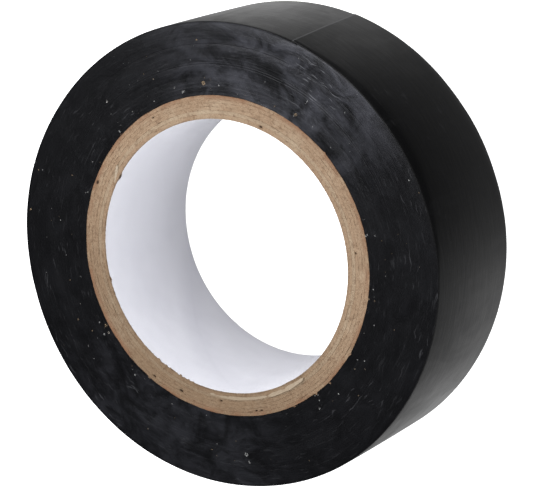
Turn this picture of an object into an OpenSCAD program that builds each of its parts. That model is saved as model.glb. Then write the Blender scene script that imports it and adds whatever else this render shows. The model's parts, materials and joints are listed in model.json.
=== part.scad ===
// Roll of electrical tape on a laid-up paper core.
// The roll lies on its side: +Z runs along the core's axis and the origin is on that axis, on the lower side face.
// The tape is one strip wound as a spiral. Its outermost turn ends in a free tail that peels off the rim,
// and the tail is a chain of short links, each hinged to the one before it where the film would bend.

/* [Core] */
// Diameter of the bore through the core
bore_d = 32; // [20:0.5:40]
// Thickness of the smooth white paper that lines the bore
liner_t = 0.12; // [0.08:0.01:0.3]
// Thickness of one kraft ply
ply_t = 0.43; // [0.3:0.01:0.6]
// Number of kraft plies between the liner and the tape
ply_count = 6; // [3:1:9]

/* [Tape] */
// Width of the tape, which is also the length of the core
tape_w = 18; // [10:1:30]
// Thickness of the tape, film and adhesive together
tape_t = 0.13; // [0.1:0.01:0.2]
// Number of turns on the core
turns = 65; // [20:1:150]

/* [Free end] */
// Where the tip of the free end lies around the roll, in degrees
end_angle = -42; // [-180:1:180]
// How far the cut across the free end leans along the strip
cut_lean = 1.8; // [0:0.1:2.5]
// Number of links in the tail
link_count = 10; // [3:1:16]
// Angle around the roll that one link covers, in degrees
link_arc = 6.4; // [5:0.1:8]
// Height left open under the tail, taken out of the adhesive
peel_gap = 0.03; // [0.02:0.01:0.05]
// Gap between one link and the next
link_gap = 0.02; // [0.01:0.01:0.04]

/* [Hidden] */
$fn = 180;
// Radii, from the bore outwards
bore_r = bore_d / 2;
liner_r = bore_r + liner_t;
core_r = liner_r + ply_count * ply_t;
roll_r = core_r + turns * tape_t;
// The spiral is two half circles a turn, their centres this far from the axis on either side
centre_shift = tape_t / 4;
// The outermost half circle, which carries the tail
rim_arc_r = roll_r - centre_shift;
tail_film_t = tape_t - peel_gap;
tail_arc = link_count * link_arc;
gap_arc = link_gap / roll_r * 180 / PI;
cut_tilt = atan(cut_lean / tape_w);
// Room by which a cutting shape passes the faces that it cuts
pass = 1;

ply_names = [for (i = [1 : ply_count]) str("kraft_ply_", i)];
link_names = [for (i = [1 : link_count]) str("tail_link_", i)];

// A tube standing on the lower side face
module tube(inner_r, outer_r) {
    difference() {
        cylinder(r = outer_r, h = tape_w);
        translate([0, 0, -pass])
            cylinder(r = inner_r, h = tape_w + 2 * pass);
    }
}

// Half a disc. The half runs clockwise from +X where side is -1, and counter-clockwise where it is 1
module half_disc(radius, side) {
    intersection() {
        translate([-side * centre_shift, 0, 0])
            cylinder(r = radius, h = tape_w);
        translate([-2 * roll_r, side > 0 ? 0 : -2 * roll_r, -pass])
            cube([4 * roll_r, 2 * roll_r, tape_w + 2 * pass]);
    }
}

// A disc under one turn of the spiral, which steps down by one tape thickness at +X. tip_r is its radius there
module spiral_disc(tip_r) {
    union() {
        half_disc(tip_r - centre_shift, -1);
        half_disc(tip_r - 3 * centre_shift, 1);
    }
}

// A wedge with its edge on the axis, between two angles counted from the free end
module wedge(from_arc, to_arc) {
    reach = 2 * roll_r;
    translate([0, 0, -pass])
        linear_extrude(height = tape_w + 2 * pass)
            polygon([
                [0, 0],
                [reach * cos(from_arc), reach * sin(from_arc)],
                [reach * cos(to_arc), reach * sin(to_arc)]
            ]);
}

// Everything past the leaning cut across the free end
module past_the_cut() {
    translate([roll_r, 0, 0])
        rotate([cut_tilt, 0, 0])
            translate([-2 * pass, 0, -pass])
                cube([3 * pass, 2 * cut_lean + pass, tape_w + 3 * pass]);
}

// Smooth white paper wound in first, which a finger or a spindle meets
module paper_liner() {
    color("whitesmoke")
        tube(bore_r, liner_r);
}

// One kraft ply of the core, counted from the liner outwards
module kraft_ply(i) {
    color(i % 2 == 0 ? "tan" : "burlywood")
        tube(liner_r + (i - 1) * ply_t, liner_r + i * ply_t);
}

// Every turn but the last, stuck to the core and to each other
module wound_tape() {
    color("#232327")
        difference() {
            rotate(end_angle)
                spiral_disc(roll_r - tape_t);
            translate([0, 0, -pass])
                cylinder(r = core_r, h = tape_w + 2 * pass);
        }
}

// The last turn as far as it stays stuck down
module outer_turn() {
    color("#1b1b1e")
        rotate(end_angle)
            difference() {
                spiral_disc(roll_r);
                spiral_disc(roll_r - tape_t);
                wedge(-tail_arc, 0);
            }
}

// One link of the tail, counted from the stuck turn towards the free end
module tail_link(i) {
    from_arc = (i - 1) * link_arc - tail_arc;
    color(i % 2 == 0 ? "#2c2c33" : "#3a3a42")
        rotate(end_angle)
            difference() {
                intersection() {
                    translate([centre_shift, 0, 0])
                        tube(rim_arc_r - tail_film_t, rim_arc_r);
                    wedge(from_arc + gap_arc, from_arc + link_arc);
                }
                if (i == link_count) past_the_cut();
            }
}

paper_liner();
for (i = [1 : ply_count]) kraft_ply(i);
wound_tape();
outer_turn();
for (i = [1 : link_count]) tail_link(i);
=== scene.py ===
"""Looks of an electrical tape roll: a laid-up paper core, the wound vinyl tape and its peeling tail."""

import json
import logging
import math
from collections.abc import Mapping, Sequence
from dataclasses import dataclass, field
from enum import Enum
from functools import cached_property
from typing import Any, Union

import bpy
import numpy as np
from mathutils import Matrix, Vector

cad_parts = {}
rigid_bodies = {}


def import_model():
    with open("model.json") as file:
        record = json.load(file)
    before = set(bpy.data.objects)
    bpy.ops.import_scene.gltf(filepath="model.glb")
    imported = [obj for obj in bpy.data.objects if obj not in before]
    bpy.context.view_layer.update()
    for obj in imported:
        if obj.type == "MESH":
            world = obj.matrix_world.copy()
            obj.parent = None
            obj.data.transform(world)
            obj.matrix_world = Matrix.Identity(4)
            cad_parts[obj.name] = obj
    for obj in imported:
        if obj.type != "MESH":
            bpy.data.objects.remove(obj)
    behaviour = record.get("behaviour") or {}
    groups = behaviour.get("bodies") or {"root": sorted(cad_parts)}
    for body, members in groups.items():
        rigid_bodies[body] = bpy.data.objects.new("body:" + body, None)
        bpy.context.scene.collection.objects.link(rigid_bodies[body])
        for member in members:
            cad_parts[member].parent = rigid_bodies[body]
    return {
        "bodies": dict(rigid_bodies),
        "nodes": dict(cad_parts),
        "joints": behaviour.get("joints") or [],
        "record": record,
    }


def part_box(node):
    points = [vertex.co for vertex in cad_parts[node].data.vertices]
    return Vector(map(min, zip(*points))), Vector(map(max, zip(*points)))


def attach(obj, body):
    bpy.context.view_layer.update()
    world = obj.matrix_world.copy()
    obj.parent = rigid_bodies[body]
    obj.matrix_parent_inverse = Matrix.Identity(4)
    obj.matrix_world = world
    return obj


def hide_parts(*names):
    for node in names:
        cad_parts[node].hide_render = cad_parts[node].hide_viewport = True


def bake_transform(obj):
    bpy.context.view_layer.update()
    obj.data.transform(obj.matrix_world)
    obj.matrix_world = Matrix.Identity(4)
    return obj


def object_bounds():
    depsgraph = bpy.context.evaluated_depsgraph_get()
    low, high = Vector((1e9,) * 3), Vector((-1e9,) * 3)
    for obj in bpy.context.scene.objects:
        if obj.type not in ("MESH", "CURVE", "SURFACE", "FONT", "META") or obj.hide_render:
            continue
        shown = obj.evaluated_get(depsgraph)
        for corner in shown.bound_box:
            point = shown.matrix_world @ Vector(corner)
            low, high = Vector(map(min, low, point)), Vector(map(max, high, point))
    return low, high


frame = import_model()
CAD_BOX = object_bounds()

LOG = logging.getLogger("tape_roll")
MM = 0.001
FULL_TURN = 2 * math.pi
REST_PLACE = "rest_place"

Colour = tuple[float, float, float]
Term = Union["Value", float]


class Slot(Enum):
    """The record's material slots."""

    LINER = "liner_paper"
    KRAFT = "kraft_board"
    FILM = "tape_film"


class Face(Enum):
    """Which finish of a piece of tape a mesh face takes, as the order of its material slots."""

    FILM = 0
    CUT = 1
    STICKY = 2
    # The torn end, and the highlight painted along the tear.
    TORN_AND_HIGHLIT = 3


def in_scene(name: str, data: bpy.types.ID) -> bpy.types.Object:
    """Sets a mesh, light or camera in the scene as a new object."""
    thing = bpy.data.objects.new(name, data)
    bpy.context.scene.collection.objects.link(thing)
    return thing


# ---- Shader workspace ----


class Value:
    """A number socket that takes part in Python arithmetic, where each operation adds a Math node."""

    def __init__(self, bench: "Bench", socket: bpy.types.NodeSocket) -> None:
        """Keeps a socket and the workspace that it belongs to."""
        self.bench = bench
        self.socket = socket

    def _math(self, operation: str, *terms: Term) -> "Value":
        """Adds one Math node.

        Args:
            operation: the node's operation.
            terms: what its inputs take, in order.

        Returns:
            The node's result.
        """
        node = self.bench.make("ShaderNodeMath", {"operation": operation}, dict(enumerate(terms)))
        return Value(self.bench, node.outputs[0])

    def __add__(self, other: Term) -> "Value":
        """Sum."""
        return self._math("ADD", self, other)

    __radd__ = __add__

    def __sub__(self, other: Term) -> "Value":
        """Difference."""
        return self._math("SUBTRACT", self, other)

    def __rsub__(self, other: Term) -> "Value":
        """Difference, the other way round."""
        return self._math("SUBTRACT", other, self)

    def __mul__(self, other: Term) -> "Value":
        """Product."""
        return self._math("MULTIPLY", self, other)

    __rmul__ = __mul__

    def __truediv__(self, other: Term) -> "Value":
        """Quotient."""
        return self._math("DIVIDE", self, other)

    def __rtruediv__(self, other: Term) -> "Value":
        """Quotient, the other way round."""
        return self._math("DIVIDE", other, self)

    def __pow__(self, other: Term) -> "Value":
        """Power."""
        return self._math("POWER", self, other)

    def __lt__(self, other: Term) -> "Value":
        """1 where this is the smaller."""
        return self._math("LESS_THAN", self, other)

    def __abs__(self) -> "Value":
        """Size without sign."""
        return self._math("ABSOLUTE", self)

    def bearing(self, across: "Value") -> "Value":
        """Angle of the point (across, self), in radians."""
        return self._math("ARCTAN2", self, across)

    def fade(self, low: Term, high: Term) -> "Value":
        """Smooth step.

        Args:
            low: where the step starts, at 0.
            high: where it ends, at 1.

        Returns:
            The step's value from 0 to 1.
        """
        settings = {"interpolation_type": "SMOOTHSTEP"}
        ends = {"Value": self, "From Min": low, "From Max": high}
        node = self.bench.make("ShaderNodeMapRange", settings, ends)
        return Value(self.bench, node.outputs[0])


class Bench:
    """The workspace of one node tree."""

    def __init__(self, tree: bpy.types.NodeTree) -> None:
        """Clears a tree and keeps it."""
        self.tree = tree
        self.tree.nodes.clear()

    def make(self, kind: str, settings: Mapping[str, Any], sockets: Mapping[Any, Any]) -> bpy.types.Node:
        """Adds one node.

        Args:
            kind: the node's type.
            settings: its properties, set first.
            sockets: what each input takes, by name or number: a value, a socket or a Value.

        Returns:
            The node.
        """
        node = self.tree.nodes.new(kind)
        for name, setting in settings.items():
            setattr(node, name, setting)
        for name, given in sockets.items():
            socket = given.socket if isinstance(given, Value) else given
            if isinstance(socket, bpy.types.NodeSocket):
                self.tree.links.new(socket, node.inputs[name])
            else:
                node.inputs[name].default_value = socket
        return node

    def place(self) -> bpy.types.NodeSocket:
        """The point of the surface at rest, in millimetres."""
        return self.make("ShaderNodeAttribute", {"attribute_name": REST_PLACE}, {}).outputs["Vector"]

    def split(self, vector: bpy.types.NodeSocket) -> tuple[Value, Value, Value]:
        """The three parts of a vector."""
        node = self.make("ShaderNodeSeparateXYZ", {}, {0: vector})
        return tuple(Value(self, output) for output in node.outputs)

    def join(self, x: Term, y: Term, z: Term) -> bpy.types.NodeSocket:
        """A vector of three numbers."""
        return self.make("ShaderNodeCombineXYZ", {}, {0: x, 1: y, 2: z}).outputs[0]

    def noise(
        self,
        place: bpy.types.NodeSocket,
        scale: float,
        detail: float = 3.0,
        rough: float = 0.5,
        warp: float = 0.0,
    ) -> Value:
        """Cloudy noise.

        Args:
            place: where it is read.
            scale: how many clouds there are to a unit of place.
            detail: how many finer layers it has.
            rough: how strong the finer layers are.
            warp: how far it is stirred.

        Returns:
            The noise, from 0 to 1.
        """
        sockets = {"Vector": place, "Scale": scale, "Detail": detail, "Roughness": rough, "Distortion": warp}
        return Value(self, self.make("ShaderNodeTexNoise", {}, sockets).outputs[0])

    def mix(self, share: Term, first: Any, second: Any) -> bpy.types.NodeSocket:
        """Blends two colours.

        Args:
            share: how much of the second shows.
            first: a colour or its socket.
            second: a colour or its socket.

        Returns:
            The colour's socket.
        """
        pair = [(*c, 1) if isinstance(c, tuple) else c for c in (first, second)]
        sockets = {0: share, 6: pair[0], 7: pair[1]}
        return self.make("ShaderNodeMix", {"data_type": "RGBA"}, sockets).outputs[2]

    def bump(self, height: Value, depth: float, under: Any = None) -> bpy.types.NodeSocket:
        """Relief on the surface.

        Args:
            height: the relief, from 0 to 1.
            depth: how high 1 stands, in metres.
            under: the normal that it is laid on.

        Returns:
            The normal's socket.
        """
        sockets = {"Height": height, "Distance": depth, "Strength": 1.0}
        if under is not None:
            sockets["Normal"] = under
        return self.make("ShaderNodeBump", {}, sockets).outputs[0]

    def surface(self, sockets: Mapping[str, Any]) -> None:
        """Ends a material's tree in one principled shader.

        Args:
            sockets: what the shader's inputs take.
        """
        shader = self.make("ShaderNodeBsdfPrincipled", {}, sockets)
        self.make("ShaderNodeOutputMaterial", {}, {0: shader.outputs[0]})


@dataclass(frozen=True)
class Specks:
    """Loose flecks stuck to a surface, a few to every square millimetre at most."""

    cells: float
    share: float
    small: float
    large: float
    flat: bool = False

    def lay(self, bench: Bench, place: bpy.types.NodeSocket, crowd: Term = 1.0) -> tuple[Value, Value]:
        """Scatters the flecks.

        Args:
            bench: the material's workspace.
            place: where they are read, in millimetres.
            crowd: how many times the usual number there are.

        Returns:
            1 on a fleck, and a number that picks the fleck's tone.
        """
        stirred = bench.noise(place, 9.0, 2.0, 0.7)
        x, y, z = bench.split(place)
        ragged = bench.join(x + 0.22 * stirred, y - 0.22 * stirred, z)
        settings = {"voronoi_dimensions": "2D" if self.flat else "3D"}
        cells = bench.make("ShaderNodeTexVoronoi", settings, {"Vector": ragged, "Scale": self.cells})
        pick, size, tone = bench.split(cells.outputs["Color"])
        reach = (self.small + (self.large - self.small) * size ** 2.5) * self.cells
        distance = Value(bench, cells.outputs["Distance"])
        on = (1.0 - distance.fade(reach * 0.75, reach)) * stirred.fade(0.47, 0.56)
        return on * (pick < crowd * self.share), tone


class Spot:
    """The point of the surface at rest, in millimetres, as seen from the roll's axis."""

    def __init__(self, bench: Bench) -> None:
        """Reads the point into a workspace."""
        self.bench = bench
        self.place = bench.place()
        self.x, self.y, self.z = bench.split(self.place)

    @cached_property
    def radius(self) -> Value:
        """How far the point is from the axis."""
        return (self.x * self.x + self.y * self.y) ** 0.5

    def round(self, times: float, third: Term) -> bpy.types.NodeSocket:
        """A place whose patterns run round the roll.

        Args:
            times: how finely the patterns are cut on the way round.
            third: the place's third number.

        Returns:
            The place.
        """
        x, y = (part / self.radius * times for part in (self.x, self.y))
        return self.bench.join(x, y, third)

    def facing(self, way: float) -> Value:
        """How much the point lies on the side of a bearing, from -1 to 1."""
        return (self.x * math.cos(way) + self.y * math.sin(way)) / self.radius


def new_material(name: str) -> tuple[bpy.types.Material, Bench]:
    """An empty material and its workspace."""
    material = bpy.data.materials.new(name)
    material.use_nodes = True
    return material, Bench(material.node_tree)


# ---- Finishes ----


@dataclass(frozen=True)
class FilmFinish:
    """Plasticised vinyl film: satin black, with faint streaks along the strip and a few low bubbles."""

    black: Colour = (0.0040, 0.0040, 0.0044)
    dusty: Colour = (0.0085, 0.0085, 0.0092)
    gloss: float = 0.34
    dulled: float = 0.0
    dulled_from: float = 0.0
    dulled_reach: float = math.radians(48)
    name: str = "vinyl_film"

    def material(self) -> bpy.types.Material:
        """The film's material."""
        material, bench = new_material(self.name)
        spot = Spot(bench)
        place = spot.place
        streaks = bench.noise(spot.round(9.0, spot.z * 1.7), 1.0, 4.0, 0.6)
        pressed = bench.join(spot.x * 0.30, spot.y * 0.30, spot.z * 0.12)
        smudges = bench.noise(pressed, 1.0, 4.0, 0.62, 1.2)
        clouds = bench.noise(place, 0.16, 3.0, 0.55, 0.4)
        grain = bench.noise(place, 7.0, 2.0, 0.6)
        cells = bench.make("ShaderNodeTexVoronoi", {}, {"Vector": place, "Scale": 0.16})
        pick, size, _ = bench.split(cells.outputs["Color"])
        bubble = 1.0 - Value(bench, cells.outputs["Distance"]).fade(0.0, 0.07 + 0.10 * size)
        bubbles = bubble * (pick < 0.30)
        dust, _ = Specks(1.1, 0.16, 0.04, 0.10).lay(bench, place)
        bloom = clouds.fade(0.42, 0.75) * 0.4 + smudges.fade(0.52, 0.70) * 0.6
        tone = bench.mix(bloom, self.black, self.dusty)
        rubbed = streaks.fade(0.60, 0.70) * smudges.fade(0.48, 0.62)
        tone = bench.mix(rubbed * 0.30, tone, (0.060, 0.060, 0.062))
        tone = bench.mix(dust * 0.5, tone, (0.16, 0.16, 0.15))
        gloss = self.gloss + 0.22 * (smudges - 0.5) + 0.14 * (streaks - 0.5) + 0.3 * dust
        if self.dulled:
            back = self.dulled_from - spot.y.bearing(spot.x)
            gloss = gloss + self.dulled * (1.0 - back.fade(0.0, self.dulled_reach))
        relief = bench.bump(streaks, 0.020 * MM)
        relief = bench.bump(grain, 0.0022 * MM, relief)
        relief = bench.bump(bubbles, 0.05 * MM, relief)
        bench.surface({
            "Base Color": tone,
            "Roughness": gloss,
            "IOR": 1.5,
            "Normal": relief,
        })
        return material


@dataclass(frozen=True)
class CutFinish:
    """The side of the wound tape, parted by a blade: smeared black with hairlines and paper dust, and a
    painted sheen on two opposite sides of the face.
    """

    core_radius: float
    roll_radius: float
    # Bearing of the side of the face where the sheen is painted strongest.
    sheen_way: float = math.radians(-45)
    scuff: tuple[float, float] = (13.4, -19.9)
    black: Colour = (0.0026, 0.0026, 0.0030)
    # Bluish tone of the smear and of the painted sheen.
    smear_and_sheen_tone: Colour = (0.033, 0.0335, 0.041)
    hair: Colour = (0.26, 0.26, 0.28)
    paper: Colour = (0.36, 0.36, 0.35)
    kraft: Colour = (0.30, 0.21, 0.12)

    def _hairlines(self, bench: Bench, spot: Spot) -> Value:
        """Fine scratches that a blade left round the roll, dense where the roll was scuffed."""
        place = spot.place
        swept = spot.radius + 1.3 * bench.noise(place, 0.42, 2.0)
        fine = bench.noise(spot.round(12.0, swept * 4.6), 1.0, 2.0, 0.55)
        long = bench.noise(spot.round(4.0, spot.radius * 5.5), 1.0, 2.0, 0.5)
        off = ((spot.x - self.scuff[0]) ** 2.0 + (spot.y - self.scuff[1]) ** 2.0) ** 0.5
        scuffed = 1.0 - off.fade(1.2, 4.6)
        patch = bench.noise(place, 0.25, 1.0).fade(0.54, 0.66)
        arcs = long.fade(0.645, 0.69) * bench.noise(place, 0.20, 1.0).fade(0.52, 0.62)
        return fine.fade(0.61, 0.69) * (0.03 + 0.10 * patch + 0.50 * scuffed) + 0.04 * arcs

    def material(self) -> bpy.types.Material:
        """The cut side's material."""
        material, bench = new_material("tape_side")
        spot = Spot(bench)
        place, radius = spot.place, spot.radius
        wiped = bench.noise(spot.round(6.0, radius * 0.5), 1.0, 4.0, 0.62, 0.9)
        clouds = bench.noise(place, 0.20, 4.0, 0.62, 0.9)
        # Painted sheen: the smear turns to a bluish haze mostly on the side towards the given bearing and a
        # little on the opposite side, where the lights' reflection in the turns' edges would fall.
        facing = spot.facing(self.sheen_way)
        sheen_sides = 0.05 + 0.88 * facing.fade(0.70, 0.99) + 0.27 * (-1.0 * facing).fade(0.70, 0.99)
        smear_and_sheen = wiped.fade(0.30, 0.66) * clouds.fade(0.30, 0.60) * sheen_sides
        lines = self._hairlines(bench, spot)
        near_core = 1.0 - radius.fade(self.core_radius, 0.5 * (self.core_radius + self.roll_radius))
        crowd = bench.noise(place, 0.55, 1.0).fade(0.50, 0.62) * (0.6 + 2.4 * near_core)
        dust, tone_pick = Specks(1.05, 0.075, 0.09, 0.30, flat=True).lay(bench, place, crowd)
        crumbs, _ = Specks(2.4, 0.050, 0.04, 0.11, flat=True).lay(bench, place, crowd)
        tone = bench.mix(smear_and_sheen, self.black, self.smear_and_sheen_tone)
        tone = bench.mix(lines * 0.6, tone, self.hair)
        fleck = bench.mix(tone_pick.fade(0.60, 0.75), self.paper, self.kraft)
        tone = bench.mix(crumbs * 0.6, tone, fleck)
        tone = bench.mix(dust * 0.9, tone, fleck)
        turns = bench.noise(spot.round(1.5, radius * 7.0), 1.0, 2.0, 0.6)
        relief = bench.bump(turns, 0.006 * MM)
        relief = bench.bump(wiped, 0.05 * MM, relief)
        relief = bench.bump(dust, 0.04 * MM, relief)
        bench.surface({
            "Base Color": tone,
            "Roughness": 0.30 + 0.14 * wiped - 0.06 * lines + 0.3 * dust,
            "IOR": 1.48,
            "Specular Tint": (0.93, 0.94, 1.0, 1.0),
            "Normal": relief,
        })
        return material


@dataclass(frozen=True)
class TornFinish:
    """The free end of the film, drawn out grey where it was torn off, with a highlight painted in the same
    grey along the tear on the film's outer side.
    """

    torn_grey_and_highlight: Colour = (0.055, 0.055, 0.058)

    def material(self) -> bpy.types.Material:
        """The torn end's material, which also paints the highlight along the tear."""
        material, bench = new_material("torn_and_highlit_film")
        grain = bench.noise(bench.place(), 6.0, 2.0, 0.6)
        bench.surface({
            "Base Color": bench.mix(grain.fade(0.35, 0.7), self.torn_grey_and_highlight, (0.080, 0.080, 0.083)),
            "Roughness": 0.5 + 0.2 * (grain - 0.5),
            "IOR": 1.5,
        })
        return material


@dataclass(frozen=True)
class StickyFinish:
    """The rubber adhesive on the strip's inner side: black and glossy, with a mottle where it tore free."""

    black: Colour = (0.012, 0.012, 0.012)

    def material(self) -> bpy.types.Material:
        """The adhesive's material."""
        material, bench = new_material("adhesive_coat")
        mottle = bench.noise(bench.place(), 1.3, 4.0, 0.65, 0.5)
        bench.surface({
            "Base Color": bench.mix(mottle.fade(0.4, 0.7), self.black, (0.03, 0.03, 0.028)),
            "Roughness": 0.20 + 0.22 * mottle,
            "IOR": 1.5,
            "Normal": bench.bump(mottle, 0.02 * MM),
        })
        return material


@dataclass(frozen=True)
class KraftFinish:
    """Raw cut kraft board: tan, with fibres that run round the core, open pores and flecks of bark, with
    painted shade on one side of the ring and below the cut end.
    """

    tan: Colour
    width: float
    outside: float
    # Bearing of the side of the ring that is painted darker as shade.
    shaded_way: float
    dark: Colour = (0.120, 0.070, 0.042)
    pale: Colour = (0.420, 0.335, 0.240)
    name: str = "kraft_board"

    def material(self) -> bpy.types.Material:
        """The board's material."""
        material, bench = new_material(self.name)
        spot = Spot(bench)
        place, radius = spot.place, spot.radius
        fibres = bench.noise(spot.round(64.0, radius * 5.0), 1.0, 4.0, 0.75, 0.8)
        pores = bench.noise(spot.round(95.0, radius * 6.5), 1.0, 3.0, 0.7, 0.5)
        clouds = bench.noise(place, 0.42, 3.0, 0.6)
        flecks, _ = Specks(1.9, 0.10, 0.02, 0.08, flat=True).lay(bench, place)
        into = 0.5 * self.width - abs(spot.z - 0.5 * self.width)
        tone = bench.mix(fibres.fade(0.30, 0.70), self.dark, self.pale)
        tone = bench.mix(0.72, tone, self.tan)
        tone = bench.mix(clouds.fade(0.45, 0.75) * 0.35, tone, self.pale)
        # Painted shade: the ring's end is darker towards one side, where less light falls on it.
        painted_shade = spot.facing(self.shaded_way).fade(-0.2, 1.0)
        tone = bench.mix(painted_shade * 0.45, tone, (0.105, 0.066, 0.035))
        mottle = bench.noise(place, 1.7, 3.0, 0.7)
        tone = bench.mix((1.0 - mottle.fade(0.30, 0.48)) * 0.45, tone, self.dark)
        tone = bench.mix((1.0 - pores.fade(0.33, 0.44)) * 0.60, tone, self.dark)
        stained = radius.fade(self.outside - 0.85, self.outside) * clouds.fade(0.35, 0.6)
        tone = bench.mix(stained * 0.75, tone, (0.190, 0.092, 0.050))
        tone = bench.mix(flecks * 0.6, tone, self.dark)
        # Painted shade: the board turns near black deeper than 0.11 to 0.23 mm below the cut ends, on the
        # plies' sides between them and down in the pits.
        tone = bench.mix(into.fade(0.11, 0.23) * 0.88, tone, (0.03, 0.018, 0.012))
        relief = bench.bump(fibres, 0.05 * MM)
        relief = bench.bump(pores, 0.06 * MM, relief)
        bench.surface({
            "Base Color": tone,
            "Roughness": 0.86 + 0.12 * (fibres - 0.5),
            "IOR": 1.4,
            "Specular IOR Level": 0.25,
            "Normal": relief,
        })
        return material


@dataclass(frozen=True)
class LinerFinish:
    """Smooth bluish-white paper, with the lapped seam of its helix as a faint line of painted shade and a
    darker band beside it.
    """

    seam_at_base: float
    seam_climb: float
    white: Colour = (0.905, 0.900, 0.948)
    # A greyer white for the paper's uneven tone and for the painted shade along the seam.
    grey_and_shade: Colour = (0.735, 0.73, 0.79)

    def material(self) -> bpy.types.Material:
        """The liner's material."""
        material, bench = new_material("liner_paper")
        spot = Spot(bench)
        place = spot.place
        off = abs(spot.y.bearing(spot.x) - (self.seam_at_base + self.seam_climb * spot.z))
        # Painted shade: a faint dark line along the seam's step; the tone is also darker in a wider band
        # beside it.
        seam = 1.0 - off.fade(0.004, 0.035)
        beside_seam = (1.0 - off.fade(0.02, 0.34)) * 0.35
        fibres = bench.noise(place, 3.2, 4.0, 0.7)
        clouds = bench.noise(place, 0.14, 2.0, 0.5)
        tone = bench.mix(beside_seam + 0.05 * seam + 0.25 * clouds.fade(0.45, 0.75), self.white, self.grey_and_shade)
        tone = bench.mix((1.0 - fibres.fade(0.22, 0.40)) * 0.22, tone, self.grey_and_shade)
        relief = bench.bump(fibres, 0.008 * MM)
        relief = bench.bump(clouds, 0.25 * MM, relief)
        bench.surface({
            "Base Color": tone,
            "Roughness": 0.52 + 0.15 * (fibres - 0.5),
            "IOR": 1.45,
            "Normal": relief,
        })
        return material


# ---- Shapes ----


@dataclass(frozen=True)
class RollSizes:
    """Sizes of the roll, read from the frame. Lengths in metres, angles in radians."""

    bore: float
    liner: float
    plies: tuple[float, ...]
    tip: float
    tape: float
    width: float
    end: float
    link: float
    hinges: tuple[Vector, ...]

    @classmethod
    def from_frame(cls, packed: Mapping[str, Any]) -> "RollSizes":
        """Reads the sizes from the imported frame."""
        mounts = {m["name"]: m for m in packed["record"]["mounts"]}
        plies = [name for name in packed["nodes"] if name.startswith("kraft_ply_")]
        low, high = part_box("wound_tape")
        hinges = tuple(Vector(joint["pos_m"]) for joint in packed["joints"])
        bearings = [math.atan2(h.y, h.x) for h in hinges]
        link = bearings[1] - bearings[0]
        end = bearings[-1] + link
        tape = low.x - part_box("outer_turn")[0].x
        shift = tape / 4
        tip = shift + shift * math.cos(end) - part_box("outer_turn")[0].x
        return cls(
            bore=mounts["core_bore"]["dims"]["r_mm"] * MM,
            liner=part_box("paper_liner")[1].x,
            plies=tuple(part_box(f"kraft_ply_{i + 1}")[1].x for i in range(len(plies))),
            tip=tip,
            tape=tape,
            width=high.z - low.z,
            end=end,
            link=link,
            hinges=hinges,
        )

    @property
    def core(self) -> float:
        """Radius of the core's outside."""
        return self.plies[-1]

    @property
    def root(self) -> float:
        """How far round from the free end the tail's root lies."""
        return self.link * len(self.hinges)

    def spiral(self, back: np.ndarray) -> np.ndarray:
        """Outer radius of the last turn.

        Args:
            back: how far round from the free end, clockwise, which may go past a full turn.

        Returns:
            The radius there. The turn is two half circles whose centres lie on either side of the axis.
        """
        shift = self.tape / 4
        turns = np.floor(back / FULL_TURN)
        back = back - turns * FULL_TURN
        first = shift * np.cos(back) + np.sqrt((self.tip - shift) ** 2 - (shift * np.sin(back)) ** 2)
        second = -shift * np.cos(back) + np.sqrt((self.tip - 3 * shift) ** 2 - (shift * np.sin(back)) ** 2)
        return np.where(back <= math.pi, first, second) - turns * self.tape


@dataclass(frozen=True)
class Ripple:
    """A smooth random curve round the roll that closes on itself."""

    seed: int
    slowest: int
    fastest: int
    strength: float

    def __call__(self, bearing: np.ndarray) -> np.ndarray:
        """The curve's height at each bearing."""
        rng = np.random.default_rng(self.seed)
        waves = np.arange(self.slowest, self.fastest + 1)
        phases = rng.uniform(0, FULL_TURN, len(waves))
        heights = rng.normal(0, self.strength / math.sqrt(len(waves)), len(waves))
        return np.cos(np.multiply.outer(bearing, waves) + phases) @ heights


def combed(seed: int, columns: int, rows: int, run: float) -> np.ndarray:
    """Random relief that runs round the roll.

    Args:
        seed: picks the relief.
        columns: how many columns it has round the roll.
        rows: how many rows it has across.
        run: how many columns a fibre runs for.

    Returns:
        An array of columns by rows with a spread of 1, which closes on itself.
    """
    white = np.random.default_rng(seed).normal(size=(columns, rows))
    pace = np.fft.fftfreq(columns)[:, None]
    soft = np.fft.ifft(np.fft.fft(white, axis=0) * np.exp(-2 * (math.pi * pace * run) ** 2), axis=0).real
    return soft / soft.std()


def hump(bearing: np.ndarray, at: float, reach: float) -> np.ndarray:
    """A smooth hump round the roll, 1 high at one bearing and gone beyond its reach."""
    off = np.abs((bearing - at + math.pi) % FULL_TURN - math.pi) / reach
    return np.clip(1 - off * off, 0, 1) ** 2


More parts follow.
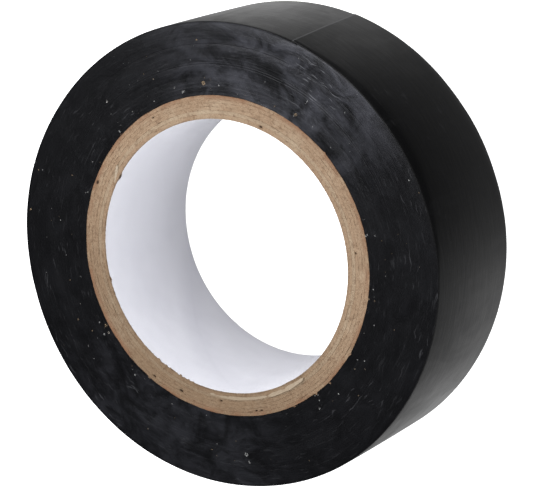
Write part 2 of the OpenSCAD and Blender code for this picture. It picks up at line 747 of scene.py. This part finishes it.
@dataclass
class Lathe:
    """Builds a piece from a cross-section that is carried round the roll and may change on the way.

    Attributes:
        name: the piece's name.
        bearing: the bearing of each point, columns by points.
        radius: its radius.
        height: its height.
        faces: which material each side of the section takes.
        closed: whether the last column joins the first.
        end_face: which material the ends take, where it isn't closed.
        highlit_columns: over how many of its last columns the outer side takes it too, which paints a
            highlight along the tear.
        sharp: above this angle an edge is sharp.
    """

    name: str
    bearing: np.ndarray
    radius: np.ndarray
    height: np.ndarray
    faces: np.ndarray
    closed: bool
    end_face: int = 0
    highlit_columns: int = 0
    sharp: float = math.radians(40)

    def build(self, materials: Sequence[bpy.types.Material]) -> bpy.types.Object:
        """Makes the piece.

        Args:
            materials: its materials, in the order that faces counts them.

        Returns:
            The object, whose mesh is closed.
        """
        points = np.stack(
            [self.radius * np.cos(self.bearing), self.radius * np.sin(self.bearing), self.height], axis=-1
        )
        columns, rows = points.shape[:2]
        across = np.arange(rows)
        spans = np.arange(columns if self.closed else columns - 1)
        here = spans[:, None] * rows
        there = ((spans + 1) % columns)[:, None] * rows
        nxt = (across + 1) % rows
        quads = np.stack(
            [here + across, there + across, there + nxt, here + nxt], axis=-1
        ).reshape(-1, 4)
        looks = np.tile(self.faces, (len(spans), 1))
        # The outer side of the last columns takes the end's material: a highlight painted along the tear.
        looks[len(spans) - self.highlit_columns :, : rows // 2 - 1] = self.end_face
        looks = looks.ravel()
        polygons = [tuple(int(i) for i in quad) for quad in quads]
        if not self.closed:
            half = rows // 2
            last = (columns - 1) * rows
            for a in range(half - 1):
                b = rows - 1 - a
                polygons.append((a, a + 1, b - 1, b))
                polygons.append((last + b, last + b - 1, last + a + 1, last + a))
            looks = np.concatenate([looks, np.full(2 * (half - 1), self.end_face)])
        mesh = bpy.data.meshes.new(self.name)
        flat = points.reshape(-1, 3)
        if self._volume(flat, np.array(polygons)) < 0:
            polygons = [tuple(reversed(p)) for p in polygons]
        mesh.from_pydata(flat.tolist(), [], polygons)
        mesh.polygons.foreach_set("material_index", looks.astype(np.int32))
        mesh.polygons.foreach_set("use_smooth", np.ones(len(polygons), bool))
        mesh.set_sharp_from_angle(angle=self.sharp)
        place = mesh.attributes.new(REST_PLACE, "FLOAT_VECTOR", "POINT")
        place.data.foreach_set("vector", (flat / MM).astype(np.float32).ravel())
        for material in materials:
            mesh.materials.append(material)
        mesh.update()
        return in_scene(self.name, mesh)

    @staticmethod
    def _volume(points: np.ndarray, quads: np.ndarray) -> float:
        """Signed volume inside a mesh of quads, negative where the faces look inwards."""
        a, b, c, d = (points[quads[:, i]] for i in range(4))
        halves = np.einsum("ij,ij->i", a, np.cross(b, c)) + np.einsum("ij,ij->i", a, np.cross(c, d))
        return float(halves.sum())


def between(curves: np.ndarray, turns: int, eased: bool) -> np.ndarray:
    """Fills in the turns between a few curves that are spread evenly over them.

    Args:
        curves: the curves, columns by how many there are.
        turns: how many turns there are.
        eased: whether each turn keeps close to its nearest curve.

    Returns:
        A height for each column and turn.
    """
    last = curves.shape[1] - 1
    where = np.linspace(0, last, turns)
    low = np.minimum(where.astype(int), last - 1)
    part = where - low
    if eased:
        part = part * part * (3 - 2 * part)
    return curves[:, low] * (1 - part) + curves[:, low + 1] * part


def show(piece: bpy.types.Object, body: str, slot: Slot, *nodes: str) -> None:
    """Sets a piece on its body and hides what it stands for.

    Args:
        piece: the piece.
        body: the body that it rides on.
        slot: the record's material slot, which is not used.
        nodes: the CAD nodes that it replaces.
    """
    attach(piece, body)
    note(piece, slot, *nodes)


def note(piece: bpy.types.Object, slot: Slot, *nodes: str) -> None:
    """Hides what a piece stands for and reports it."""
    if nodes:
        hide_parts(*nodes)
    parts = ", ".join(nodes) or "nothing"
    LOG.info("%s: %d faces, stands for %s", piece.name, len(piece.data.polygons), parts)


# ---- Core ----


@dataclass(frozen=True)
class Sliver:
    """A strip of paper that came away from the core's cut end. Degrees and millimetres."""

    name: str
    start: float
    end: float
    radius_start: float
    radius_end: float
    wide: float
    lift_start: float
    lift_end: float
    lean: float = 0.0

    def build(self, width: float, finish: bpy.types.Material) -> None:
        """Makes the sliver.

        Args:
            width: height of the core's cut end.
            finish: its material.
        """
        share = np.linspace(0, 1, 40)[:, None]
        ragged = 1 + 0.10 * combed(len(self.name), 40, 1, 2.0)
        taper = np.sqrt(np.clip(1 - np.abs(2 * share - 1) ** 7, 0.02, 1)) * ragged
        middle = self.radius_start + share * (self.radius_end - self.radius_start)
        lift = self.lift_start * (1 - share) ** 2 + self.lift_end * share ** 2 + 0.035
        across = np.linspace(-0.5, 0.5, 5)
        radius = middle + across * self.wide * taper
        top = lift + self.lean * across * self.wide
        bearing = np.repeat(np.radians(self.start + share * (self.end - self.start)), 10, axis=1)
        radius = np.concatenate([radius, radius[:, ::-1]], axis=1) * MM
        height = width + np.concatenate([top, top[:, ::-1] - 0.07], axis=1) * MM
        piece = Lathe(self.name, bearing, radius, height, np.zeros(10, int), False).build([finish])
        show(piece, "roll", Slot.KRAFT)


@dataclass
class Core:
    """The paper core: a smooth liner inside kraft plies, all cut off square with a rough edge.

    Attributes:
        sizes: the roll's sizes.
        columns: how many columns a ring has.
        seam_step: how far the liner's lapped edge stands out.
        seam_at_base: bearing of the liner's seam on the lower face.
        seam_climb: how far the seam turns for each metre of height.
        tears: nicks in the liner's edge, as bearing and reach in degrees and depth in millimetres.
        pits: holes in the board's cut end, as bearing, radius and width.
        pit_depth: how deep they go.
        burrs: shreds on the board's outer edge, as bearing, reach and how far they stand out.
        fringe: how far torn fibres reach over the liner's edge.
        torn_and_shaded_at: bearing of the side where the board is most torn and its end is painted darker as
            shade.
    """

    sizes: RollSizes
    columns: int = 900
    seam_step: float = 0.012 * MM
    seam_at_base: float = math.radians(83.5)
    seam_climb: float = math.radians(4.42) / MM
    tears: tuple[tuple[float, float, float], ...] = (
        (34.0, 2.9, 0.22), (80.0, 1.6, 0.12), (-174.5, 4.0, 0.10), (128.0, 2.5, 0.10), (-60.0, 1.5, 0.10),
    )
    pits: tuple[tuple[float, float, float], ...] = (
        (41.6, 18.42, 0.17), (-43.7, 16.32, 0.13), (134.3, 17.75, 0.17), (167.0, 18.15, 0.09),
        (169.2, 18.18, 0.09), (122.0, 18.2, 0.12), (-108.0, 17.1, 0.08), (5.0, 17.9, 0.08),
        (152.0, 17.2, 0.10),
    )
    pit_depth: float = 0.30 * MM
    burrs: tuple[tuple[float, float, float], ...] = (
        (-57.3, 0.7, 0.12), (-70.5, 0.7, 0.12), (-145.5, 1.1, 0.14), (-159.3, 0.5, 0.38),
        (-166.3, 0.6, 0.28),
        (-176.5, 1.2, 0.16), (120.8, 0.9, 0.12), (20.0, 0.6, 0.10), (-128.0, 0.6, 0.12),
    )
    fringe: float = 0.15 * MM
    torn_and_shaded_at: float = math.radians(128)
    slivers: tuple[Sliver, ...] = (
        Sliver("torn_flap", 30.0, 37.4, 16.85, 16.22, 0.20, 0.26, 0.0, 0.9),
        Sliver("lifted_sliver", 174.0, 193.0, 16.66, 16.52, 0.40, 0.0, 0.14, 0.35),
        Sliver("bared_sliver", 147.0, 173.6, 16.58, 16.66, 0.36, -0.02, -0.02),
    )
    bearing: np.ndarray = field(init=False)

    def __post_init__(self) -> None:
        """Lays out the columns."""
        self.bearing = np.arange(self.columns) * FULL_TURN / self.columns

    def _joint_line(self, i: int) -> np.ndarray:
        """How far the glue line outside ply i wanders, where 0 is the liner's."""
        slow = Ripple(40 + i, 2, 40, 0.022 * MM)(self.bearing)
        return slow + Ripple(60 + i, 60, 240, 0.008 * MM)(self.bearing)

    def _pitted(self, radius: np.ndarray) -> np.ndarray:
        """Depth of the pits torn out of the cut end."""
        depth = np.zeros_like(radius)
        for at, where, size in self.pits:
            across = (radius - where * MM) / (size * MM)
            turned = (self.bearing - math.radians(at) + math.pi) % FULL_TURN - math.pi
            along = turned * where / (1.9 * size)
            depth += self.pit_depth * np.exp(-across ** 2 - along[:, None] ** 2)
        return depth

    def _fringe(self) -> np.ndarray:
        """How far the first ply's torn fibres reach over the liner's edge."""
        teeth = np.clip(0.25 + Ripple(21, 60, 220, 1.2)(self.bearing), 0, 1.2)
        torn = hump(self.bearing, self.torn_and_shaded_at, math.radians(26))
        slow = 0.45 + 0.5 * np.abs(Ripple(22, 2, 14, 0.6)(self.bearing))
        return self.fringe * (0.55 * slow + (0.12 + 1.5 * torn) * teeth)

    def liner(self, board: bpy.types.Material) -> None:
        """The white paper in the bore, with its lapped seam and the nicks in its upper edge.

        Args:
            board: the material of its back and its cut edges.
        """
        size = self.sizes
        count = 55
        levels = size.width * np.linspace(0, 1, count)
        bearing = np.repeat(self.bearing[:, None], count * 2, axis=1)
        off = (bearing[:, :count] - self.seam_at_base - self.seam_climb * levels) % FULL_TURN / FULL_TURN
        soft = Ripple(11, 2, 9, 0.03 * MM)(self.bearing)[:, None] * np.sin(math.pi * levels / size.width)
        wall = size.bore + self.seam_step * (0.5 - off) + soft * 0.5
        edge = Ripple(12, 30, 200, 0.018 * MM)(self.bearing)
        curl = np.zeros_like(edge)
        for at, reach, drop in self.tears:
            nick = hump(self.bearing, math.radians(at), math.radians(reach))
            edge -= drop * MM * nick
            curl += 0.4 * drop * MM * nick
        ends = np.linspace(0, 1, count) ** 24
        height = levels + edge[:, None] * ends
        wall = wall - curl[:, None] * ends
        back = np.full_like(wall, size.liner)
        radius = np.concatenate([wall, back[:, ::-1]], axis=1)
        height = np.concatenate([height, height[:, ::-1]], axis=1)
        faces = np.where(np.arange(2 * count) < count - 1, 0, 1)
        finish = LinerFinish(self.seam_at_base, self.seam_climb * MM)
        lathe = Lathe("liner_paper_tube", bearing, radius, height, faces, True)
        piece = lathe.build([finish.material(), board])
        show(piece, "roll", Slot.LINER, "paper_liner")

    def ply(self, i: int, finish: bpy.types.Material) -> None:
        """One kraft ply with a rough cut edge at both ends.

        Args:
            i: which ply, counted from 0 at the liner.
            finish: its material.
        """
        size = self.sizes
        inner = size.liner if i == 0 else size.plies[i - 1]
        outer = size.plies[i]
        inside = np.zeros(self.columns) if i == 0 else self._joint_line(i)
        outside = self._joint_line(i + 1)
        shares = np.array([0.0, 0.05, 0.15, 0.3, 0.45, 0.6, 0.75, 0.88, 0.96, 1.0])
        crown = np.array([-1.0, -0.35, 0.0, 0.1, 0.1, 0.1, 0.05, 0.0, -0.35, -1.0])
        span = (outer + outside) - (inner + inside)
        radius = (inner + inside)[:, None] + span[:, None] * shares
        rims = []
        for side, seed in ((1, 100 + i), (-1, 200 + i)):
            rough = combed(seed, self.columns, len(shares), 2.5) * 0.014 * MM
            slow = Ripple(seed + 50, 1, 30, 0.020 * MM)(self.bearing)[:, None]
            rim = rough + slow + 0.006 * MM * crown - 0.012 * MM
            if side == 1:
                rim = rim - self._pitted(radius)
            rims.append(size.width + rim if side == 1 else -rim)
        top_radius = radius.copy()
        top = rims[0]
        if i == len(size.plies) - 1:
            burr = np.zeros(self.columns)
            for at, reach, push in self.burrs:
                burr += push * MM * hump(self.bearing, math.radians(at), math.radians(reach))
            top_radius[:, -1] += burr
            top_radius[:, -2] += 0.5 * burr
            top[:, -1] += 0.03 * MM + 0.25 * burr
        elif i == 0:
            lip = self._fringe()
            top_radius[:, 0] -= lip
            top[:, 0] += 0.075 * MM + 0.15 * lip
            top[:, 1] += 0.03 * MM
        wall = np.stack([radius[:, -1], radius[:, -1]], axis=1)
        back = np.stack([radius[:, 0], radius[:, 0]], axis=1)
        near = np.array([0.3 * MM, size.width - 0.3 * MM])
        near = np.tile(near, (self.columns, 1))
        section_radius = np.concatenate([wall, top_radius[:, ::-1], back, radius], axis=1)
        section_height = np.concatenate([near, top[:, ::-1], near[:, ::-1], rims[1]], axis=1)
        bearing = np.repeat(self.bearing[:, None], section_radius.shape[1], axis=1)
        faces = np.zeros(section_radius.shape[1], int)
        name = f"kraft_ply_{i + 1}_board"
        piece = Lathe(name, bearing, section_radius, section_height, faces, True).build([finish])
        show(piece, "roll", Slot.KRAFT, f"kraft_ply_{i + 1}")

    def build(self) -> None:
        """Makes the liner, every ply and the slivers. The board nearest the liner is a paler grade."""
        ends = (self.sizes.width / MM, self.sizes.core / MM, self.torn_and_shaded_at)
        pale = KraftFinish((0.332, 0.243, 0.164), *ends, name="pale_kraft").material()
        plain = KraftFinish((0.295, 0.196, 0.124), *ends, name="kraft_board").material()
        under = KraftFinish((0.480, 0.395, 0.300), *ends, dark=(0.26, 0.19, 0.13), name="bare_paper")
        bare = under.material()
        self.liner(pale)
        for i in range(len(self.sizes.plies)):
            self.ply(i, pale if i == 1 else plain)
        for sliver in self.slivers:
            sliver.build(self.sizes.width, bare)


# ---- Tape ----


@dataclass
class Strip:
    """The strip of tape: what its film looks like across its width and along the last turn.

    Attributes:
        sizes: the roll's sizes.
        crown: how much fuller the roll is half way across.
        stand: how far the film's skin lies outside the plain roll.
        curl: how far the film's edges curl in.
        curl_reach: over what width they do.
        soft_at: how far round from the free end the edges are softest.
        soft_reach: how far that goes either way.
        swells: where the roll is out of round, as bearing and reach in degrees and height in millimetres.
        proud: how far the tip stands out past the upper face.
        proud_reach: over what angle it comes back.
        lift: how far the free end's upper corner stands off the turn under it.
        lift_reach: over what length it comes down.
        blunt: how far the torn edge is drawn down.
        blunt_reach: over what length it is.
        lean: how far the free end's tear leans back over the tape's width.
        hidden: how far the last turn goes on under the free end.
    """

    sizes: RollSizes
    crown: float = 0.05 * MM
    stand: float = 0.06 * MM
    curl: float = 0.028 * MM
    curl_reach: float = 0.35 * MM
    soft_at: float = math.radians(38)
    soft_reach: float = math.radians(37)
    swells: tuple[tuple[float, float, float], ...] = (
        (55.0, 30.0, 0.13),
        (-172.0, 26.0, 0.08),
        (-86.0, 12.0, 0.06),
    )
    proud: float = 0.26 * MM
    proud_reach: float = math.radians(24)
    lift: float = 0.21 * MM
    lift_reach: float = 3.0 * MM
    blunt: float = 0.07 * MM
    blunt_reach: float = 0.15 * MM
    lean: float = 1.8 * MM
    hidden: float = math.radians(5)

    def levels(self) -> np.ndarray:
        """Heights of the film's points, closer together near both edges."""
        near = [0.0, 0.03, 0.08, 0.15, 0.25, 0.40, 0.58, 0.74, 0.86, 1.0, 1.3, 1.8, 2.6, 4.0, 6.2]
        near = np.array(near) * MM
        return np.concatenate([near, [self.sizes.width / 2], self.sizes.width - near[::-1]])

    def profile(self, back: np.ndarray, levels: np.ndarray) -> np.ndarray:
        """How far the film lies outside the plain roll.

        Args:
            back: how far round from the free end, columns by 1 or by heights.
            levels: the heights.

        Returns:
            The distance at each column and height.
        """
        width = self.sizes.width
        near = np.minimum(levels, width - levels)
        soft = hump(back, self.soft_at, self.soft_reach)
        bulge = self.stand + self.crown * (1 - (2 * levels / width - 1) ** 2)
        for at, reach, height in self.swells:
            bulge = bulge + height * MM * hump(self.sizes.end - back, math.radians(at), math.radians(reach))
        left = np.clip(1 - near / (self.curl_reach * (1 + 4.8 * soft)), 0, 1)
        rolled = self.curl * (1 + 7.5 * soft) * left**2
        fold = np.exp(-(((near / MM - 0.80) / 0.07) ** 2))
        crease = 0.018 * MM * hump(back, math.radians(7), math.radians(6)) * fold
        turned = 0.02 * MM + 0.05 * MM * hump(back, math.radians(6), math.radians(15))
        return bulge - rolled - crease - turned * np.exp(-((near / (0.06 * MM)) ** 1.4))

    def shift(self, back: np.ndarray) -> np.ndarray:
        """How far up the strip has wandered at a distance round from the free end."""
        near = np.clip(1 - back / self.proud_reach, 0, 1)
        return self.proud * near * near * (3 - 2 * near)

    def stand_off(self, back: np.ndarray, levels: np.ndarray) -> np.ndarray:
        """How far the strip stands off the turn under it at each column and height."""
        past_cut = np.maximum(back - self.cut(levels), 0) * self.sizes.tip
        share = levels / self.sizes.width
        raised = self.lift * (0.20 + 0.80 * share ** 2) * np.exp(-past_cut / self.lift_reach)
        return raised - self.blunt * np.exp(-(past_cut / self.blunt_reach) ** 2)

    def cut(self, levels: np.ndarray) -> np.ndarray:
        """How far round the leaning tear lies at each height, from the tip."""
        share = levels / self.sizes.width
        wander = 0.05 * MM * np.sin(9.0 * share) * (1 - share)
        return (self.lean * share + wander) / self.sizes.tip

    def section(
        self, start: np.ndarray, finish: np.ndarray, columns: int, gap: float
    ) -> tuple[np.ndarray, ...]:
        """Points of a stretch of the strip.

        Args:
            start: how far round from the free end it starts, at each height.
            finish: how far round it ends.
            columns: how many columns it has.
            gap: how thick the clearance under it is.

        Returns:
            Bearing, radius and height of its points, and the material of each side of its section.
        """
        size = self.sizes
        levels = self.levels()
        share = np.linspace(0, 1, columns)[:, None]
        back = start + share * (finish - start)
        wave = Ripple(300, 3, 60, 0.010 * MM)(back)
        outer = size.spiral(back) + self.profile(back, levels) + self.stand_off(back, levels)
        inner = outer - size.tape + gap
        height = levels + self.shift(back) + wave
        bearing = size.end - back
        rows = len(levels)
        faces = np.full(2 * rows, Face.FILM.value)
        side = Face.FILM if gap else Face.CUT
        faces[rows:] = Face.STICKY.value
        faces[[rows - 1, -1]] = side.value
        return (
            np.concatenate([bearing, bearing[:, ::-1]], axis=1),
            np.concatenate([outer, inner[:, ::-1]], axis=1),
            np.concatenate([height, height[:, ::-1]], axis=1),
            faces,
        )


@dataclass
class WoundTape:
    """Every turn but the last, as one body whose sides show the edge of each turn.

    Attributes:
        strip: the strip that it is wound from.
        materials: film, cut side and adhesive.
        columns: how many columns the ring has.
        ridge: how far the edge of a turn stands out between the lines beside it.
        shoulder: how far the last few turns fall back, which is more beside the free end.
        shoulder_reach: over what width they do.
    """

    strip: Strip
    materials: Sequence[bpy.types.Material]
    columns: int = 228
    ridge: float = 0.0125 * MM
    shoulder: float = 0.030 * MM
    shoulder_reach: float = 0.22 * MM

    def _side(self, bearing: np.ndarray, outer: np.ndarray, seed: int) -> tuple[np.ndarray, np.ndarray]:
        """One side of the ring.

        Args:
            bearing: bearing of each column.
            outer: the ring's outer radius there.
            seed: picks how unevenly the turns are stacked.

        Returns:
            Radius of each edge and how far it stands out, from the core outwards.
        """
        size = self.strip.sizes
        turns = round((size.tip - size.core) / size.tape) - 1
        rng = np.random.default_rng(seed)
        stack = np.cumsum(rng.normal(0, 0.0010 * MM, turns))
        stack -= np.linspace(stack[0], stack[-1], turns)
        jumps = rng.random(turns) < 0.04
        stack += np.cumsum(np.where(jumps, rng.normal(0, 0.012 * MM, turns), 0.0)) * 0.15
        stack += rng.normal(0, 0.0006 * MM, turns)
        slow = [Ripple(seed + 10 + b, 1, 7, 0.012 * MM)(bearing) for b in range(9)]
        top = stack + between(np.stack(slow, axis=1), turns, False)
        shares = (np.arange(turns)[:, None] + np.array([0.06, 0.34, 0.94])).ravel() / turns
        radius = size.core + (outer - size.core)[:, None] * shares
        blotch = [Ripple(seed + 30 + b, 1, 26, 0.17)(bearing) for b in range(10)]
        worn = between(np.stack(blotch, axis=1), turns, True)
        ridge = self.ridge * np.clip(0.52 + worn, 0.12, 1.15)
        stand = np.repeat(top, 3, axis=1)
        stand[:, 0::3] -= ridge
        stand[:, 2::3] -= ridge
        beside_end = hump(size.end - bearing, math.radians(9), math.radians(15))
        shoulder = self.shoulder * (1 + 0.7 * beside_end)[:, None]
        stand -= shoulder * np.exp(-(outer[:, None] - radius) / self.shoulder_reach)
        stand -= stand.mean()
        return radius, stand

    def build(self) -> None:
        """Makes the ring, which steps out by one tape thickness under the free end."""
        size = self.strip.sizes
        steps = (np.arange(self.columns) + 0.5) / self.columns * FULL_TURN
        back = self.strip.hidden + np.concatenate([[0.0], steps, [FULL_TURN - 4e-4]])
        bearing = size.end - back
        levels = self.strip.levels()
        film = (size.spiral(back) - size.tape)[:, None] + self.strip.profile(back[:, None], levels)
        upper_radius, upper = self._side(bearing, film[:, -1], 500)
        lower_radius, lower = self._side(bearing, film[:, 0], 700)
        film_height = np.tile(levels, (len(back), 1))
        top = size.width - 0.012 * MM + upper
        bottom = 0.012 * MM - lower
        radius = np.concatenate([film, upper_radius[:, ::-1], lower_radius], axis=1)
        film_height[:, -1] = top[:, -1]
        film_height[:, 0] = bottom[:, -1]
        height = np.concatenate([film_height, top[:, ::-1], bottom], axis=1)
        faces = np.full(radius.shape[1], Face.CUT.value)
        faces[: len(levels) - 1] = Face.FILM.value
        bearings = np.repeat(bearing[:, None], radius.shape[1], axis=1)
        piece = Lathe("wound_film", bearings, radius, height, faces, True).build(self.materials)
        show(piece, "roll", Slot.FILM, "wound_tape")


@dataclass
class LastTurn:
    """The last turn: the stretch that stays stuck down, and the tail that peels off.

    Attributes:
        strip: the strip that it is part of.
        materials: film, cut side, adhesive, and the torn end with its painted highlight.
        handled: the same for the tail, whose film is dulled by fingers.
        step: how far apart its columns are.
        fine_step: the same in the piece with the free end.
        highlit_columns: how many of its columns at the tear take the torn end's grey on their outer side, a
            painted highlight.
        clearance: how far the tail lies off the turn under it.
        slit: how far short of the wound tape's step the stuck stretch ends.
    """

    strip: Strip
    materials: Sequence[bpy.types.Material]
    handled: Sequence[bpy.types.Material]
    step: float = math.radians(0.4)
    fine_step: float = math.radians(0.1)
    highlit_columns: int = 7
    clearance: float = 0.004 * MM
    slit: float = 8e-4

    def _stretch(
        self, name: str, start: Any, finish: Any, gap: float, fine: bool = False
    ) -> bpy.types.Object:
        """Makes one stretch of the strip.

        Args:
            name: the piece's name.
            start: how far round from the free end it starts.
            finish: how far round it ends, where both are one angle or one for each height.
            gap: the clearance under it, which only the tail has.
            fine: whether its columns are close together.

        Returns:
            The piece.
        """
        levels = self.strip.levels()
        first = np.broadcast_to(start, levels.shape)
        last = np.broadcast_to(finish, levels.shape)
        step = self.fine_step if fine else self.step
        columns = max(3, round(float(np.abs(last - first).max()) / step) + 1)
        section = self.strip.section(first, last, columns, gap)
        shape = Lathe(name, *section, False, Face.TORN_AND_HIGHLIT.value, self.highlit_columns if fine else 0)
        return shape.build(self.handled if gap else self.materials)

    def _at(self, back: float) -> Vector:
        """The point of the rim at a distance round from the free end, half way up."""
        size = self.strip.sizes
        reach = float(size.spiral(np.array(back))) - size.tape / 2
        return Vector((reach * math.cos(size.end - back), reach * math.sin(size.end - back), size.width / 2))

    def build(self) -> None:
        """Makes the stuck stretch and the tail, whose pieces each run across one hinge."""
        size = self.strip.sizes
        links = len(size.hinges)
        stuck_to = FULL_TURN + self.strip.hidden - self.slit
        stuck = self._stretch("last_turn_film", size.root, stuck_to, 0.0)
        show(stuck, "roll", Slot.FILM, "outer_turn")
        middles = [size.root - size.link * (i + 0.5) for i in range(links)]
        root = self._stretch("tail_root_film", size.root, middles[0], self.clearance)
        self._at(size.root)
        self._at(middles[0])
        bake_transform(root)
        note(root, Slot.FILM)
        for i in range(links - 1):
            last = i == links - 2
            finish = self.strip.cut(self.strip.levels()) if last else middles[i + 1]
            name = "tail_tip_film" if last else f"tail_film_{i + 1}"
            piece = self._stretch(name, middles[i], finish, self.clearance, fine=last)
            self._at(middles[i])
            self._at(middles[i + 1])
            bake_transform(piece)
            nodes = [f"tail_link_{i + 1}"] + ([f"tail_link_{links}"] if last else [])
            note(piece, Slot.FILM, *nodes)


# ---- Studio ----


@dataclass(frozen=True)
class SoftBox:
    """A soft light on a stand, aimed at the middle of the roll."""

    name: str
    azimuth: float
    elevation: float
    distance: float
    wide: float
    tall: float
    power: float
    colour: Colour = (1.0, 1.0, 1.0)

    def light(self, middle: Vector) -> None:
        """Sets the light up.

        Args:
            middle: the point that it is aimed at.
        """
        lamp = bpy.data.lights.new(self.name, "AREA")
        lamp.shape = "RECTANGLE"
        lamp.size = self.wide
        lamp.size_y = self.tall
        lamp.energy = self.power
        lamp.color = self.colour
        stand = in_scene(self.name, lamp)
        around, up = math.radians(self.azimuth), math.radians(self.elevation)
        way = Vector((math.cos(around) * math.cos(up), math.sin(around) * math.cos(up), math.sin(up)))
        stand.location = middle + way * self.distance
        stand.rotation_mode = "QUATERNION"
        stand.rotation_quaternion = (-way).to_track_quat("-Z", "Y")
        stand.visible_camera = False


@dataclass(frozen=True)
class Studio:
    """A pale floor, soft light and the camera."""

    middle: Vector
    roll_radius: float
    elevation: float = math.radians(57.61)
    tilt: float = math.radians(112.82)
    distance: float = 0.300
    ceiling: float = 1.16
    lens: float = 173.43
    aim_off: tuple[float, float] = (-0.490 * MM, -0.343 * MM)
    floor_drop: float = 0.10 * MM
    mirror_drop: float = 0.06 * MM
    dim_way: float = math.radians(-84)
    sides: int = 96

    def world(self) -> None:
        """The room's light: an even white ceiling that black film doesn't mirror."""
        world = bpy.data.worlds.new("room")
        world.use_nodes = True
        bpy.context.scene.world = world
        bench = Bench(world.node_tree)
        _, _, up = bench.split(bench.make("ShaderNodeTexCoord", {}, {}).outputs["Generated"])
        light = self.ceiling * up.fade(-0.06, 0.06)
        sky = bench.make("ShaderNodeBackground", {}, {0: (0.97, 0.985, 1.0, 1.0), 1: light})
        bench.make("ShaderNodeOutputWorld", {}, {0: sky.outputs[0]})
        world.cycles_visibility.glossy = False

    def _disc(
        self, name: str, reach: float, height: float, material: bpy.types.Material
    ) -> bpy.types.Object:
        """A flat round sheet under the roll.

        Args:
            name: its name.
            reach: its radius.
            height: its height.
            material: its material.

        Returns:
            The sheet.
        """
        bearings = np.arange(self.sides) * FULL_TURN / self.sides
        rim = [(reach * math.cos(a), reach * math.sin(a), height) for a in bearings]
        mesh = bpy.data.meshes.new(name)
        mesh.from_pydata(rim, [], [tuple(range(self.sides))])
        mesh.materials.append(material)
        sheet = in_scene(name, mesh)
        return sheet

    def floor(self) -> None:
        """A pale floor that is bright enough to wash out its shadows."""
        material, bench = new_material("pale_floor")
        bench.surface({
            "Base Color": (0.8, 0.8, 0.8, 1.0),
            "Roughness": 0.9,
            "Emission Color": (1.0, 1.0, 1.0, 1.0),
            "Emission Strength": 1.0,
        })
        floor = self._disc("floor", 40 * self.roll_radius, -self.floor_drop, material)
        floor.visible_glossy = False
        floor.visible_diffuse = False

    def mirrored_floor(self) -> None:
        """What the film mirrors of the floor: brightest close to the roll, dim on the side of the camera."""
        material, bench = new_material("mirrored_floor")
        place = bench.make("ShaderNodeTexCoord", {}, {}).outputs["Object"]
        x, y, _ = bench.split(place)
        out = (x * x + y * y) ** 0.5 / self.roll_radius
        near = 1.0 - out.fade(0.88, 1.56)
        reach = out * self.roll_radius
        facing = (x * math.cos(self.dim_way) + y * math.sin(self.dim_way)) / reach
        broad = -1.0 * y / reach
        dimmed = (1.0 - 0.30 * broad.fade(0.30, 0.60)) * (1.0 - 0.74 * facing.fade(0.70, 1.0))
        far = out.fade(1.9, 2.9)
        glow = (0.05 + 0.88 * near + 0.70 * far) * dimmed
        tone = bench.mix(glow, (0.0, 0.0, 0.0), (1.0, 1.0, 1.0))
        bench.surface({
            "Base Color": (0.0, 0.0, 0.0, 1.0),
            "Roughness": 1.0,
            "Emission Color": tone,
            "Emission Strength": 1.0,
        })
        sheet = self._disc("mirrored_floor", 5 * self.roll_radius, -self.mirror_drop, material)
        sheet.visible_camera = False
        sheet.visible_diffuse = False
        sheet.visible_shadow = False

    def lights(self) -> None:
        """The soft boxes: a key close over the free end, a weak fill facing it and two strips low behind."""
        for box in (
            SoftBox("key", 2.0, 60.0, 0.15, 0.09, 0.09, 0.105),
            SoftBox("fill", 192.0, 42.0, 0.32, 0.16, 0.16, 0.07, (0.95, 0.97, 1.0)),
            SoftBox("back_left", 140.0, 14.0, 0.45, 0.10, 0.30, 0.10),
            SoftBox("back_right", 62.0, 14.0, 0.45, 0.10, 0.30, 0.06),
        ):
            box.light(self.middle)

    def camera(self) -> None:
        """The camera, rolled about its own line of sight as the roll is seen."""
        data = bpy.data.cameras.new("camera")
        data.lens = self.lens
        data.sensor_width = 36.0
        data.clip_start = 0.01
        data.clip_end = 10.0
        data.dof.use_dof = False
        camera = in_scene("camera", data)
        back = Vector((0.0, -math.cos(self.elevation), math.sin(self.elevation)))
        level = Vector((1.0, 0.0, 0.0))
        upright = Vector((0.0, math.sin(self.elevation), math.cos(self.elevation)))
        up = math.cos(self.tilt) * upright + math.sin(self.tilt) * level
        right = math.cos(self.tilt) * level - math.sin(self.tilt) * upright
        aim = self.middle + Vector((*self.aim_off, 0.0))
        turn = Matrix((right, up, back)).transposed().to_4x4()
        camera.matrix_world = Matrix.Translation(aim + back * self.distance) @ turn
        bpy.context.scene.camera = camera

    def build(self) -> None:
        """Sets up the whole studio."""
        self.camera()
        self.world()
        self.floor()
        self.mirrored_floor()
        self.lights()
        scene = bpy.context.scene
        scene.view_settings.view_transform = "Standard"
        scene.view_settings.look = "None"


def main() -> None:
    """Builds the studio and every piece."""
    logging.basicConfig(level=logging.INFO, format="%(message)s")
    sizes = RollSizes.from_frame(frame)
    low, high = CAD_BOX
    Studio(Vector((0.0, 0.0, (low.z + high.z) / 2)), sizes.tip).build()
    Core(sizes).build()
    side = CutFinish(sizes.core / MM, sizes.tip / MM)
    materials = [finish.material() for finish in (FilmFinish(), side, StickyFinish(), TornFinish())]
    handled_film = FilmFinish(dulled=0.085, dulled_from=sizes.end, name="handled_film")
    handled = [handled_film.material(), *materials[1:]]
    strip = Strip(sizes)
    WoundTape(strip, materials).build()
    LastTurn(strip, materials, handled).build()


if __name__ == "__main__":
    main()
